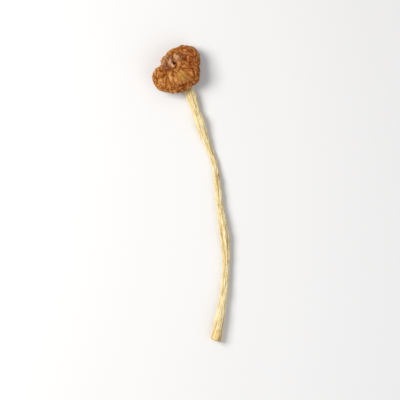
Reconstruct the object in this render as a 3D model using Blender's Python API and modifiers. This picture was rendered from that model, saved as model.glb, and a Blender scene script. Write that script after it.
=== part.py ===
"""Dried tea tree mushroom, lying down: a wrinkled, dimpled cap with gills, on a long grooved stem.

Metres, +Z up. The cap lies face up at +Y and the cut foot points to -Y. The stem and the far side of the
cap's margin rest on z = 0, and the origin is the middle of that footprint's box.
"""

import math

import bmesh
import bpy
from mathutils import Quaternion, Vector, noise

MM = 0.001
OBJECT_NAME = "dried_tea_tree_mushroom"

# Cap: the middle of its margin, and the way that its face leans
CAP_SEAT = Vector((-6.8, 62.4, 5.0)) * MM
CAP_LEAN = math.radians(16)
CAP_LEAN_TOWARD = math.radians(118)
CAP_COLUMNS = 96

# Cap: its half section, before the folds
CAP_RADIUS = 12.4 * MM
DOME_HEIGHT = 8.0 * MM
DOME_FULLNESS = 2.5
DOME_RINGS = 15
MARGIN_THICKNESS = 2.8 * MM
MARGIN_DROP = 2.3 * MM
MARGIN_RINGS = 6
GILL_OUTER_RADIUS = 8.9 * MM
GILL_INNER_RADIUS = 3.9 * MM
GILL_EDGE_HEIGHT = (-0.5 * MM, 0.9 * MM)
GILL_DEPTH = 1.5 * MM
GILL_RINGS = 5
SOCKET_RADIUS = 3.3 * MM
SOCKET_TOP = 2.9 * MM
SOCKET_EDGE_RISE = 0.2 * MM

# Cap: how far the margin reaches, by direction in degrees, which gives the lobes and the notch
MARGIN_REACH = (
    (0, 11.6),
    (17, 12.6),
    (36, 14.0),
    (50, 14.3),
    (64, 13.9),
    (77, 12.9),
    (90, 11.8),
    (105, 10.9),
    (120, 10.0),
    (138, 9.5),
    (154, 9.7),
    (170, 8.7),
    (182, 10.3),
    (192, 12.4),
    (204, 13.9),
    (221, 14.6),
    (237, 14.6),
    (249, 14.3),
    (262, 13.7),
    (277, 13.4),
    (294, 12.7),
    (310, 12.2),
    (324, 13.4),
    (338, 12.8),
)
MARGIN_LOBES_FROM = (0.15, 0.85)
MARGIN_SWAY = 0.5 * MM
MARGIN_WAVES = ((2, 1.0, 0.6), (3, 0.6, 2.1))
MARGIN_CRINKLE_DEPTH = 0.5 * MM
MARGIN_CRINKLE_PACE = 3.5

# Cap: the folds and hollows on its face, in the cap's own plane
DIMPLE = Vector((-2.4, -1.3)) * MM
DIMPLE_DEPTH = 3.2 * MM
DIMPLE_RADIUS = 1.9 * MM
LIP_RADIUS = 4.7 * MM
LIP_WIDTH = 1.65 * MM
LIP_HEIGHT = 0.5 * MM
FOLD_COUNT = 13
FOLD_DEPTH = 0.55 * MM
FOLD_START = (0.8 * MM, 3.6 * MM)
FOLD_UPPER_FADE = 0.55
FOLD_SWAY = 4.0
FOLD_SWAY_LENGTH = 4.5 * MM
FOLD_VIGOUR = (0.35, 1.1)
RIPPLE_SPACING = 2.7 * MM
RIPPLE_DEPTH = 0.3 * MM
RIPPLE_SIDE = math.radians(72)
RIPPLE_START = (3.8 * MM, 5.6 * MM)
RIPPLE_SWAY = 5.0
NOTCH_END = Vector((-8.6, -0.2)) * MM
NOTCH_DEPTH = 1.7 * MM
NOTCH_WIDTH = 0.9 * MM
NOTCH_START = 0.4
SWELLING = Vector((4.0, -7.9)) * MM
SWELLING_RADII = Vector((3.6, 2.6)) * MM
SWELLING_HEIGHT = 0.9 * MM
SWELLING_SOFTNESS = 0.7
LUMPS_LENGTH = 3.4 * MM
LUMPS_HEIGHT = 0.7 * MM
RELIEF_FADE_FROM = 0.8
RELIEF_FADE = 0.6

# Cap: short creases in its face, each from, to, depth and half width
CREASES = (
    (Vector((0.7, -11.4)) * MM, Vector((5.2, -10.6)) * MM, 0.7 * MM, 0.5 * MM),
    (Vector((-4.0, -4.5)) * MM, Vector((-4.4, -12.0)) * MM, 0.6 * MM, 0.5 * MM),
    (Vector((-7.2, -4.1)) * MM, Vector((-10.0, -10.1)) * MM, 0.6 * MM, 0.6 * MM),
    (Vector((4.6, 2.6)) * MM, Vector((9.8, -0.4)) * MM, 0.8 * MM, 0.7 * MM),
    (Vector((-2.6, 5.2)) * MM, Vector((3.8, 6.6)) * MM, 0.6 * MM, 0.6 * MM),
)

# Stem: points of its middle line from the cap's seat, from the socket down to the foot
NECK_LINE = (
    (-0.30, 0.55, 2.40),
    (-0.02, 0.02, 0.75),
    (0.90, -1.40, -1.00),
    (2.50, -4.00, -2.25),
    (4.40, -7.00, -2.75),
)
LYING_LINE = (
    (5.95, -10.2),
    (9.2, -20.0),
    (12.4, -30.2),
    (14.1, -35.4),
    (16.15, -40.4),
    (18.8, -48.0),
    (20.2, -58.5),
    (21.2, -69.0),
    (23.2, -81.5),
    (24.5, -95.6),
    (23.6, -110.6),
    (21.4, -124.4),
    (19.4, -136.6),
)
STEM_COLUMNS = 28
STEM_STATION = 2.2 * MM
NECK_STATION = 1.2 * MM
NECK_LENGTH = 14.0 * MM

# Stem: its radius by the distance from its top end
STEM_GIRTH = (
    (0, 3.00),
    (2, 2.90),
    (5, 2.50),
    (10, 2.20),
    (15, 2.12),
    (19, 2.34),
    (22, 2.18),
    (26, 1.92),
    (28, 2.00),
    (30, 2.36),
    (32, 2.54),
    (34, 2.42),
    (36, 2.10),
    (40, 2.00),
    (43, 1.84),
    (45, 1.60),
    (49, 1.38),
    (55, 1.42),
    (64, 1.65),
    (76, 1.75),
    (86, 2.10),
    (92, 2.30),
    (100, 1.90),
    (112, 1.75),
    (124, 2.00),
    (136, 2.50),
    (146, 2.70),
    (151, 2.40),
)
STEM_FLATNESS = 0.10
STEM_TWIST = math.radians(95)
STEM_LUMPS = 0.09
STEM_LUMPS_LENGTH = 5.0 * MM
DRYING_START = (1.0 * MM, 9.0 * MM)
SPLINE_STEPS = 24

# Stem: lengthwise grooves, by direction round the stem, share of the radius and half width in degrees
STEM_GROOVES = (
    (12, 0.17, 13),
    (78, 0.12, 10),
    (135, 0.20, 15),
    (206, 0.13, 11),
    (258, 0.18, 14),
    (318, 0.11, 10),
)
GROOVE_WANDER = math.radians(16)
GROOVE_WANDER_LENGTH = 11.0 * MM
GROOVE_FADE_LENGTH = 7.0 * MM
GROOVE_ALLOWANCE = 0.05

# Stem: how far its underside clears the ground between the places where it rests
STEM_ARCH = 0.5 * MM
STEM_ARCHES = 3
LYING_START = (8.0 * MM, 13.0 * MM)

# Stem: its cut foot
FOOT_CUT_SLANT = math.radians(14)
FOOT_HOLLOW = 0.6 * MM
FOOT_RIM_WIDTH = 0.8 * MM


def clear_scene():
    """Remove every object, so that only the mushroom is left."""
    for obj in list(bpy.data.objects):
        bpy.data.objects.remove(obj, do_unlink=True)


def smoothstep(low, high, value):
    """Share from 0 at low to 1 at high, with a gentle start and end."""
    share = min(max((value - low) / (high - low), 0.0), 1.0)
    return share * share * (3.0 - 2.0 * share)


def spline(before, start, end, after, share):
    """Point at this share of the way from start to end, on a smooth curve through all four."""
    return 0.5 * (
        2.0 * start
        + (end - before) * share
        + (2.0 * before - 5.0 * start + 4.0 * end - after) * share**2
        + (3.0 * start - before - 3.0 * end + after) * share**3
    )


def read_chart(chart, place):
    """Value of a chart of (place, value) pairs, joined by straight lines and held at the ends."""
    if place <= chart[0][0]:
        return chart[0][1]
    for (low, first), (high, second) in zip(chart, chart[1:]):
        if place <= high:
            return first + (second - first) * (place - low) / (high - low)
    return chart[-1][1]


def margin_reach(angle):
    """How far the cap's margin reaches in this direction."""
    degrees = math.degrees(angle) % 360.0
    count = len(MARGIN_REACH)
    index = max(i for i in range(count) if MARGIN_REACH[i][0] <= degrees)
    low = MARGIN_REACH[index][0]
    high = MARGIN_REACH[(index + 1) % count][0] or 360
    reaches = [MARGIN_REACH[(index + step) % count][1] for step in (-1, 0, 1, 2)]
    return spline(*reaches, (degrees - low) / (high - low)) * MM


def distance_to_line(point, start, end):
    """Distance in the plane from a point to the line between two others, and the share along it."""
    run = end - start
    share = min(max((point - start).dot(run) / run.length_squared, 0.0), 1.0)
    return (point - start - run * share).length, share


def bell(distance, width):
    """1 at no distance, falling to nothing over a few widths."""
    return math.exp(-0.5 * (distance / width) ** 2)


def face_relief(point, share):
    """Height that the folds, the dimple and the lumps add to the cap's face.

    point lies in the cap's plane, and share runs from 0 at the dimple to 1 at the margin.
    """
    out = point - DIMPLE
    distance = out.length
    turn = math.atan2(out.y, out.x)
    height = -DIMPLE_DEPTH * bell(distance, DIMPLE_RADIUS)
    height += LIP_HEIGHT * bell(distance - LIP_RADIUS, LIP_WIDTH)
    sway = noise.noise(Vector((point.x, point.y, 0.0)) / FOLD_SWAY_LENGTH)
    spot = point / LUMPS_LENGTH
    vigour = FOLD_VIGOUR[0] + FOLD_VIGOUR[1] * abs(noise.noise(Vector((3.0 + spot.x, spot.y, 2.0))))
    folds = math.sin(FOLD_COUNT * turn + FOLD_SWAY * sway) * vigour
    upper = max(math.cos(turn - RIPPLE_SIDE), 0.0)
    folds *= smoothstep(*FOLD_START, distance) * (1.0 - FOLD_UPPER_FADE * share * upper)
    height += FOLD_DEPTH * folds
    ripples = math.sin(2 * math.pi * distance / RIPPLE_SPACING + RIPPLE_SWAY * sway)
    height += RIPPLE_DEPTH * ripples * upper * smoothstep(*RIPPLE_START, distance)
    gap, along = distance_to_line(point, DIMPLE, NOTCH_END)
    height -= NOTCH_DEPTH * bell(gap, NOTCH_WIDTH) * smoothstep(0.0, NOTCH_START, along)
    lump = point - SWELLING
    spread = math.hypot(lump.x / SWELLING_RADII.x, lump.y / SWELLING_RADII.y)
    height += SWELLING_HEIGHT * bell(spread, SWELLING_SOFTNESS)
    for start, end, depth, width in CREASES:
        gap, along = distance_to_line(point, start, end)
        height -= depth * bell(gap, width)
    height += LUMPS_HEIGHT * noise.noise(Vector((spot.x, spot.y, 0.0)))
    return height * (1.0 - RELIEF_FADE * smoothstep(RELIEF_FADE_FROM, 1.0, share))


def cap_profile():
    """Half section of the cap, from the middle of its face round the margin to the socket's roof.

    Each point is (radius, height, zone, share), where share runs along its zone.
    """
    points = []
    for ring in range(DOME_RINGS + 1):
        share = ring / DOME_RINGS
        swing = share * math.pi / 2
        radius = CAP_RADIUS * math.sin(swing) ** (2 / DOME_FULLNESS)
        height = DOME_HEIGHT * max(math.cos(swing), 0.0) ** (2 / DOME_FULLNESS)
        points.append((radius, height, "face", radius / CAP_RADIUS))
    half = MARGIN_THICKNESS / 2
    for ring in range(1, MARGIN_RINGS + 1):
        share = ring / MARGIN_RINGS
        swing = -math.pi * share
        radius = CAP_RADIUS - half + half * math.cos(swing)
        height = MARGIN_DROP * math.sin(swing)
        points.append((radius, height, "margin", share))
    for ring in range(GILL_RINGS):
        share = ring / (GILL_RINGS - 1)
        radius = GILL_OUTER_RADIUS + (GILL_INNER_RADIUS - GILL_OUTER_RADIUS) * share
        height = GILL_EDGE_HEIGHT[0] + (GILL_EDGE_HEIGHT[1] - GILL_EDGE_HEIGHT[0]) * share
        points.append((radius, height, "gill", share))
    points.append((SOCKET_RADIUS, GILL_EDGE_HEIGHT[1] + SOCKET_EDGE_RISE, "socket", 0.0))
    points.append((SOCKET_RADIUS, SOCKET_TOP, "socket", 0.5))
    points.append((0.0, SOCKET_TOP, "socket", 1.0))
    return points


def turned_mesh(name, profile, columns):
    """Mesh of the profile turned once about Z by a Screw modifier."""
    line = bpy.data.meshes.new(name)
    points = [(radius, 0.0, height) for radius, height, _, _ in profile]
    line.from_pydata(points, [(i, i + 1) for i in range(len(points) - 1)], [])
    obj = bpy.data.objects.new(name, line)
    bpy.context.scene.collection.objects.link(obj)
    screw = obj.modifiers.new("turn", "SCREW")
    screw.steps = columns
    screw.render_steps = columns
    screw.use_merge_vertices = True
    screw.merge_threshold = 0.00001
    graph = bpy.context.evaluated_depsgraph_get()
    mesh = bpy.data.meshes.new_from_object(obj.evaluated_get(graph))
    bpy.data.objects.remove(obj)
    return mesh


def shape_cap_point(point, profile):
    """Move one point of the turned cap to its place on the folded, lobed and gilled one."""
    radius = math.hypot(point.x, point.y)
    angle = math.atan2(point.y, point.x)
    column = round(angle / (2 * math.pi) * CAP_COLUMNS) % CAP_COLUMNS
    ring = min(profile, key=lambda p: math.hypot(p[0] - radius, p[1] - point.z))
    zone, share = ring[2], ring[3]
    outward = Vector((math.cos(angle), math.sin(angle)))
    reach = margin_reach(angle) / CAP_RADIUS
    waves = (strength * math.sin(count * angle + phase) for count, strength, phase in MARGIN_WAVES)
    sway = MARGIN_SWAY * sum(waves)
    crinkle = MARGIN_CRINKLE_DEPTH * noise.noise(outward.to_3d() * MARGIN_CRINKLE_PACE)
    if zone == "face":
        lobed = 1.0 + (reach - 1.0) * smoothstep(*MARGIN_LOBES_FROM, share)
        flat = DIMPLE * (1.0 - share) + outward * (radius * lobed + crinkle * share**4)
        height = point.z + face_relief(flat, share) + sway * share**2
    elif zone == "socket":
        flat = outward * radius
        height = point.z
    else:
        lobed = 1.0 + (reach - 1.0) * smoothstep(GILL_INNER_RADIUS, CAP_RADIUS - MARGIN_THICKNESS, radius)
        flat = outward * (radius * lobed)
        height = point.z + sway * smoothstep(GILL_INNER_RADIUS, CAP_RADIUS, radius)
        if zone == "margin":
            flat += outward * crinkle * (1.0 - share)
        elif column % 2:
            height += GILL_DEPTH
    return Vector((flat.x, flat.y, height))


def cap_turn():
    """Rotation that leans the cap from level."""
    axis = Vector((-math.sin(CAP_LEAN_TOWARD), math.cos(CAP_LEAN_TOWARD), 0.0))
    return Quaternion(axis, CAP_LEAN)


def make_cap(material, parent, collection):
    """The cap, with its gills fused to its underside and a socket for the stem."""
    profile = cap_profile()
    mesh = turned_mesh("cap", profile, CAP_COLUMNS)
    for vertex in mesh.vertices:
        vertex.co = shape_cap_point(vertex.co.copy(), profile)
    cap = add_piece("cap", mesh, material, parent, collection)
    cap.location = CAP_SEAT
    cap.rotation_mode = "QUATERNION"
    cap.rotation_quaternion = cap_turn()
    return cap


def stem_line():
    """Close points along the stem's middle, from the socket down to the foot, with the distance to each."""
    neck = [Vector(point) * MM for point in NECK_LINE]
    knots = neck + [Vector((x * MM, y * MM, neck[-1].z)) for x, y in LYING_LINE]
    knots = [2 * knots[0] - knots[1], *knots, 2 * knots[-1] - knots[-2]]
    line = []
    for i in range(1, len(knots) - 2):
        line += [spline(*knots[i - 1 : i + 3], step / SPLINE_STEPS) for step in range(SPLINE_STEPS)]
    line.append(knots[-2])
    distances = [0.0]
    for first, second in zip(line, line[1:]):
        distances.append(distances[-1] + (second - first).length)
    return line, distances


def along_line(line, distances, distance):
    """Point of the line at this distance from its start, and the way that the line runs there."""
    index = min(max(i for i, at in enumerate(distances) if at <= distance), len(line) - 2)
    run = line[index + 1] - line[index]
    share = (distance - distances[index]) / run.length
    before = line[max(index - 1, 0)]
    after = line[min(index + 2, len(line) - 1)]
    return line[index] + run * share, (after - before).normalized()


def groove_cut(angle, distance, twist):
    """Share of the radius that the grooves take away in this direction, this far along the stem."""
    cut = 0.0
    for index, (degrees, depth, width) in enumerate(STEM_GROOVES):
        wander = GROOVE_WANDER * math.sin(distance / GROOVE_WANDER_LENGTH + 2.1 * index)
        strength = 0.6 + 0.4 * math.sin(distance / GROOVE_FADE_LENGTH + 1.3 * index)
        away = angle - math.radians(degrees) - twist - wander
        away = (away + math.pi) % (2 * math.pi) - math.pi
        cut += depth * strength * bell(away, math.radians(width))
    return cut


def stem_section(distance, length):
    """Points of the stem's grooved section about its middle, as (sideways, upward) pairs."""
    radius = read_chart(STEM_GIRTH, distance / MM) * MM
    twist = STEM_TWIST * distance / length
    dried = smoothstep(*DRYING_START, distance)
    points = []
    for column in range(STEM_COLUMNS):
        angle = 2 * math.pi * column / STEM_COLUMNS
        around = Vector((math.cos(angle), math.sin(angle), distance / STEM_LUMPS_LENGTH))
        change = STEM_FLATNESS * math.cos(2 * angle - twist) + STEM_LUMPS * noise.noise(around)
        reach = radius * (1.0 + dried * (change + GROOVE_ALLOWANCE - groove_cut(angle, distance, twist)))
        points.append((reach * around.x, reach * around.y))
    return points


def stem_stations(length):
    """Distances from the top end at which the stem's section is set, closer together in the neck."""
    stations = [0.0]
    while stations[-1] < length - STEM_STATION:
        stations.append(stations[-1] + (NECK_STATION if stations[-1] < NECK_LENGTH else STEM_STATION))
    return stations + [length]


def stem_rings():
    """The stem's sections in place, from the top end to the foot, about the cap's seat."""
    line, distances = stem_line()
    length = distances[-1]
    side = Vector((1.0, 0.0, 0.0))
    rings = []
    for distance in stem_stations(length):
        middle, run = along_line(line, distances, distance)
        side = (side - run * side.dot(run)).normalized()
        up = run.cross(side)
        ring = [middle + side * x + up * y for x, y in stem_section(distance, length)]
        arch = STEM_ARCH * math.sin(STEM_ARCHES * math.pi * distance / length) ** 2
        drop = min(point.z for point in ring) + CAP_SEAT.z - arch
        drop *= smoothstep(*LYING_START, distance)
        rings.append([point - Vector((0.0, 0.0, drop)) for point in ring])
    cut = math.tan(FOOT_CUT_SLANT)
    rings[-1] = [point + run * (point - middle).x * cut for point in rings[-1]]
    return rings


def skin_rings(shape, rings):
    """Join rings of equally many points into one closed skin, and return its end faces, first and last."""
    verts = bmesh.ops.create_circle(shape, segments=len(rings[0]), radius=1.0)["verts"]
    edges = shape.edges[:]
    ends = [edges]
    for vert, place in zip(verts, rings[0]):
        vert.co = place
    for ring in rings[1:]:
        made = bmesh.ops.extrude_edge_only(shape, edges=edges)["geom"]
        fresh = {part for part in made if isinstance(part, bmesh.types.BMVert)}
        edges = [part for part in made if isinstance(part, bmesh.types.BMEdge) and set(part.verts) <= fresh]
        verts = [next(e.other_vert(v) for e in v.link_edges if e.other_vert(v) in fresh) for v in verts]
        for vert, place in zip(verts, ring):
            vert.co = place
    ends.append(edges)
    caps = [bmesh.ops.contextual_create(shape, geom=loop)["faces"][0] for loop in ends]
    bmesh.ops.recalc_face_normals(shape, faces=shape.faces[:])
    return caps


def make_stem(material, parent, collection):
    """The stem: its sections joined into one skin, closed at the top and at the hollowed, cut foot."""
    shape = bmesh.new()
    top, foot = skin_rings(shape, stem_rings())
    bmesh.ops.inset_region(shape, faces=[foot], thickness=FOOT_RIM_WIDTH, depth=-FOOT_HOLLOW)
    bmesh.ops.poke(shape, faces=[top, foot])
    mesh = bpy.data.meshes.new("stem")
    shape.to_mesh(mesh)
    shape.free()
    stem = add_piece("stem", mesh, material, parent, collection)
    stem.location = CAP_SEAT
    return stem


def make_material(name, colour, roughness):
    """Principled material of one colour."""
    material = bpy.data.materials.new(name)
    material.use_nodes = True
    shader = material.node_tree.nodes["Principled BSDF"]
    shader.inputs["Base Color"].default_value = (*colour, 1.0)
    shader.inputs["Roughness"].default_value = roughness
    shader.inputs["Metallic"].default_value = 0.0
    return material


def add_piece(name, mesh, material, parent, collection):
    """Object of this mesh in the mushroom's collection, shaded smooth and parented."""
    obj = bpy.data.objects.new(name, mesh)
    mesh.materials.clear()
    mesh.materials.append(material)
    mesh.shade_smooth()
    mesh.set_sharp_from_angle(angle=math.radians(50))
    obj.parent = parent
    collection.objects.link(obj)
    return obj


def main():
    clear_scene()
    collection = bpy.data.collections.new(OBJECT_NAME)
    bpy.context.scene.collection.children.link(collection)
    whole = bpy.data.objects.new(OBJECT_NAME, None)
    collection.objects.link(whole)
    make_cap(make_material("cap_skin", (0.34, 0.12, 0.035), 0.7), whole, collection)
    make_stem(make_material("stem_flesh", (0.78, 0.60, 0.31), 0.75), whole, collection)


main()
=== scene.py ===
"""Dried tea tree mushroom, dressed: a leathery folded cap with crowded gills, and a fibrous pale stem.

Everything is in metres, +Z up, in the frame of the solids: the mushroom lies on z = 0 with its cap at +Y.
"""

import logging
import math
from dataclasses import dataclass, field
from enum import Enum
from typing import Callable, NamedTuple, Sequence, TypeVar

import bmesh
import bpy
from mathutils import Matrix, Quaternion, Vector, noise


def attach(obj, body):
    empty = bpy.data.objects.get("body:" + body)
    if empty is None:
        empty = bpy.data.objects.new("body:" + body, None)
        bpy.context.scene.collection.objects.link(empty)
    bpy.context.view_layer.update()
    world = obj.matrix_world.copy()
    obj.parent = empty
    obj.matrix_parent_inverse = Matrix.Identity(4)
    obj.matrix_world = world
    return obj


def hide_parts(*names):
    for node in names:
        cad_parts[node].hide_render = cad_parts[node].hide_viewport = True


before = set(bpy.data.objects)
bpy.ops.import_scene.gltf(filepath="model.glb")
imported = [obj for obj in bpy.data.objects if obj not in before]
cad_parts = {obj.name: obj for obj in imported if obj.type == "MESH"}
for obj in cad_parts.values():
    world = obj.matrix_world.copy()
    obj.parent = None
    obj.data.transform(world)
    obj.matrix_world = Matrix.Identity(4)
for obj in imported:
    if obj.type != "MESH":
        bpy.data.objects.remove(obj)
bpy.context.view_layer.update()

Tree = bpy.types.NodeTree
Socket = bpy.types.NodeSocket
Material = bpy.types.Material
Amount = TypeVar("Amount", float, Vector)
Pair = tuple[float, float]
Table = tuple[tuple[float, ...], ...]
Placed = tuple[Vector, dict[str, float | Vector]]

LOG = logging.getLogger("mushroom")
MM = 0.001
FULL_TURN = 2 * math.pi

# Where the stem's top end sits in the cap, in mm
SEAT = (-6.8, 62.4, 5.0)

# Points of a skin's seam and poles that lie closer than this become one
WELD = 0.002 * MM

# How far noise is raised so that most bumps come near 1
PUFF_GAIN = 2.2

# Dried fungus flesh refracts about as plant fibre does
FLESH_IOR = 1.45

# What is kept with each point of a skin for its colour, painted shade and painted highlights among it
CAP_TRAITS = dict.fromkeys(("painted_crease_shade", "crest_highlight", "hollow_shade", "umber", "fawn", "side_shade", "calm", "lip_highlight"), "float")
STEM_TRAITS = {"grain": "float_vector", "groove_shade": "float", "foot": "float", "cut": "float"}

# A colour mix node's sockets, which share their names with its number sockets
MIX_FACTOR = 0
MIX_FIRST = 6
MIX_SECOND = 7
MIX_RESULT = 2


class Zone(Enum):
    """Stretches of the cap's half section, from the dimple round the margin to the stem."""

    FACE = "face"
    MARGIN = "margin"
    ROOF = "roof"
    SEAT = "seat"


class CapRow(NamedTuple):
    """One ring of the cap's skin before it is folded: where it is and which way it looks."""

    zone: Zone
    share: float
    radius: float
    height: float
    outward: float
    upward: float
    path: float


class Wrinkle(NamedTuple):
    """A kind of wrinkle: how deep it is, how much painted shade its creases get, what the margin's
    underside lacks, and its pattern.
    """

    depth: float
    shade_darkness: float
    under_loss: float
    length: float
    turns: float = 0.0
    seed: float = 0.0


class StemRow(NamedTuple):
    """One ring of the stem: its middle, its directions, and how far along and across the stem it is."""

    middle: Vector
    side: Vector
    up: Vector
    run: Vector
    distance: float
    breadth: float


class Furrow(NamedTuple):
    """A kind of furrow along the stem: how deep, its pattern, how sharp it is, and how much painted shade
    it gets and how sharp that shade is.
    """

    depth: float
    turns: float
    length: float
    seed: float
    sharpness: int
    shade_darkness: float = 0.0
    dark_sharpness: int = 1


def smoothstep(low: float, high: float, value: float) -> float:
    """Share from 0 at low to 1 at high, with a gentle start and end."""
    share = min(max((value - low) / (high - low), 0.0), 1.0)
    return share * share * (3.0 - 2.0 * share)


def bell(distance: float, width: float) -> float:
    """Bell curve that is 1 at no distance and bends most at the width."""
    return math.exp(-0.5 * (distance / width) ** 2)


def blend(ends: Pair, share: float) -> float:
    """Number that lies a share of the way from the first end to the second."""
    return ends[0] + (ends[1] - ends[0]) * share


def rough(x: float, y: float, seed: float = 0.0) -> float:
    """Smooth noise, from about -1 to 1. The seed sets apart two patterns that share x and y."""
    return noise.noise(Vector((x, y, seed)))


def puff(x: float, y: float, seed: float) -> float:
    """Dried skin's rounded bumps, about 1 across, parted by sharp creases: 0 in a crease, 1 on a bump."""
    return min(PUFF_GAIN * abs(rough(x, y, seed)), 1.0)


def oval(point: Vector, middle: Vector, radii: Vector, softness: float) -> float:
    """Soft oval patch of the plane: 1 in its middle, and softer about its half sizes, the radii."""
    away = point - middle
    return bell(math.hypot(away.x / radii.x, away.y / radii.y), softness)


def spline(before: Amount, start: Amount, end: Amount, after: Amount, share: float) -> Amount:
    """Number or point on a smooth Catmull-Rom curve, at a share of the way from start to end."""
    return 0.5 * (
        2.0 * start
        + (end - before) * share
        + (2.0 * before - 5.0 * start + 4.0 * end - after) * share**2
        + (3.0 * start - before - 3.0 * end + after) * share**3
    )


def read_chart(chart: Sequence[Pair], place: float) -> float:
    """Value of a chart of (place, value) pairs, joined smoothly and held at its ends.

    Args:
        chart: The pairs, in order of place.
        place: Where to read.

    Returns:
        The value there.
    """
    if place <= chart[0][0]:
        return chart[0][1]
    for (low, first), (high, second) in zip(chart, chart[1:]):
        if place <= high:
            return first + (second - first) * smoothstep(low, high, place)
    return chart[-1][1]


def distance_to_line(point: Vector, start: Vector, end: Vector) -> Pair:
    """How near a point of the plane is to a straight line between two others.

    Args:
        point: The point.
        start: The line's start.
        end: The line's end.

    Returns:
        The distance, and the share along the line of the nearest place.
    """
    run = end - start
    share = min(max((point - start).dot(run) / run.length_squared, 0.0), 1.0)
    return (point - start - run * share).length, share


def in_mm(*numbers: float) -> Vector:
    """Field of a class for a vector, given in millimetres."""
    return field(default_factory=lambda: Vector(numbers) * MM)


def linear_colour(code: str) -> tuple[float, float, float, float]:
    """Linear colour of an sRGB hex code.

    Args:
        code: Six hex digits after a hash.

    Returns:
        Red, green, blue and alpha.
    """
    parts = [int(code[i : i + 2], 16) / 255 for i in (1, 3, 5)]
    linear = [c / 12.92 if c <= 0.04045 else ((c + 0.055) / 1.055) ** 2.4 for c in parts]
    return (*linear, 1.0)


def add_node(
    tree: Tree,
    kind: str,
    settings: dict | None = None,
    values: dict | None = None,
    links: dict | None = None,
) -> bpy.types.Node:
    """Add a node to a material, with its settings, socket values and links.

    Args:
        tree: The material's node tree.
        kind: The node's type.
        settings: Its properties by name.
        values: Constant values by input socket name or number.
        links: Output sockets by the input socket that they feed.

    Returns:
        The node.
    """
    node = tree.nodes.new(kind)
    for name, value in (settings or {}).items():
        setattr(node, name, value)
    for socket, value in (values or {}).items():
        node.inputs[socket].default_value = value
    for socket, source in (links or {}).items():
        tree.links.new(source, node.inputs[socket])
    return node


def new_material(name: str) -> tuple[Material, bpy.types.Node, Tree]:
    """Material with a bare Principled shader.

    Args:
        name: The material's name.

    Returns:
        The material, its shader node and its node tree.
    """
    material = bpy.data.materials.new(name)
    material.use_nodes = True
    return material, material.node_tree.nodes["Principled BSDF"], material.node_tree


def trait_socket(tree: Tree, name: str, output: str = "Fac") -> Socket:
    """Socket of what is kept with each point of a mesh under a name."""
    return add_node(tree, "ShaderNodeAttribute", {"attribute_name": name}).outputs[output]


def cloud(tree: Tree, place: Socket, scale: float, detail: float, harshness: float) -> Socket:
    """Socket of a cloudy pattern, by its clouds per unit, its finer layers, and how strong those are."""
    values = {"Scale": scale, "Detail": detail, "Roughness": harshness}
    return add_node(tree, "ShaderNodeTexNoise", values=values, links={"Vector": place}).outputs[0]


def layered_colour(
    tree: Tree, base: str, layers: Sequence[tuple[Socket, float, float, float, str]]
) -> Socket:
    """Colours laid one over another, each as strongly as a pattern says.

    Args:
        tree: The material's node tree.
        base: The lowest colour.
        layers: For each colour over it, the pattern, its values where the colour starts and is full, how
            strong the full colour is, and the colour.

    Returns:
        The socket of the finished colour.
    """
    colour = None
    for source, low, high, most, code in layers:
        limits = {"From Min": low, "From Max": high, "To Min": 0.0, "To Max": most}
        soft = {"interpolation_type": "SMOOTHSTEP"}
        share = add_node(tree, "ShaderNodeMapRange", soft, limits, {"Value": source})
        colours = {MIX_FIRST: linear_colour(base), MIX_SECOND: linear_colour(code)}
        factor = {MIX_FACTOR: share.outputs["Result"]}
        mix = add_node(tree, "ShaderNodeMix", {"data_type": "RGBA"}, colours, factor)
        if colour is not None:
            tree.links.new(colour, mix.inputs[MIX_FIRST])
        colour = mix.outputs[MIX_RESULT]
    return colour


def set_flesh(tree: Tree, shader: bpy.types.Node, colour: Socket, grain: Socket, relief: Pair) -> None:
    """Give a shader its colour and fine relief, and the refraction of dried flesh.

    Args:
        tree: The material's node tree.
        shader: Its shader node.
        colour: Socket of the colour.
        grain: Socket of the pattern that the relief follows.
        relief: The relief's strength and depth.
    """
    strength, depth = relief
    values = {"Strength": strength, "Distance": depth}
    bump = add_node(tree, "ShaderNodeBump", values=values, links={"Height": grain})
    tree.links.new(colour, shader.inputs["Base Color"])
    tree.links.new(bump.outputs["Normal"], shader.inputs["Normal"])
    shader.inputs["IOR"].default_value = FLESH_IOR


def rolled_skin(
    columns: int, rows: int, place: Callable[[int, int], Placed], traits: dict[str, str]
) -> bmesh.types.BMesh:
    """Closed skin made from a grid that is rolled round and drawn together at both ends.

    Args:
        columns: Faces round the roll.
        rows: Faces along it.
        place: Gives the point and the traits of a column and row.
        traits: Names and kinds of the traits that are kept with each point.

    Returns:
        The skin.
    """
    shape = bmesh.new()
    layers = {name: getattr(shape.verts.layers, kind).new(name) for name, kind in traits.items()}
    bmesh.ops.create_grid(shape, x_segments=columns, y_segments=rows, size=0.5)
    for vert in shape.verts:
        column = round((vert.co.x + 0.5) * columns) % columns
        row = round((vert.co.y + 0.5) * rows)
        vert.co, found = place(column, row)
        for name, layer in layers.items():
            vert[layer] = found[name]
    bmesh.ops.remove_doubles(shape, verts=shape.verts[:], dist=WELD)
    bmesh.ops.recalc_face_normals(shape, faces=shape.faces[:])
    return shape


def finished_piece(name: str, shape: bmesh.types.BMesh, material: bpy.types.Material) -> bpy.types.Object:
    """Object of a finished shape, shaded smooth.

    Args:
        name: The piece's name.
        shape: Its mesh, which is used up.
        material: Its finish.

    Returns:
        The object, at the origin.
    """
    mesh = bpy.data.meshes.new(name)
    shape.to_mesh(mesh)
    shape.free()
    mesh.materials.append(material)
    mesh.shade_smooth()
    piece = bpy.data.objects.new(name, mesh)
    bpy.context.scene.collection.objects.link(piece)
    return piece


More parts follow.
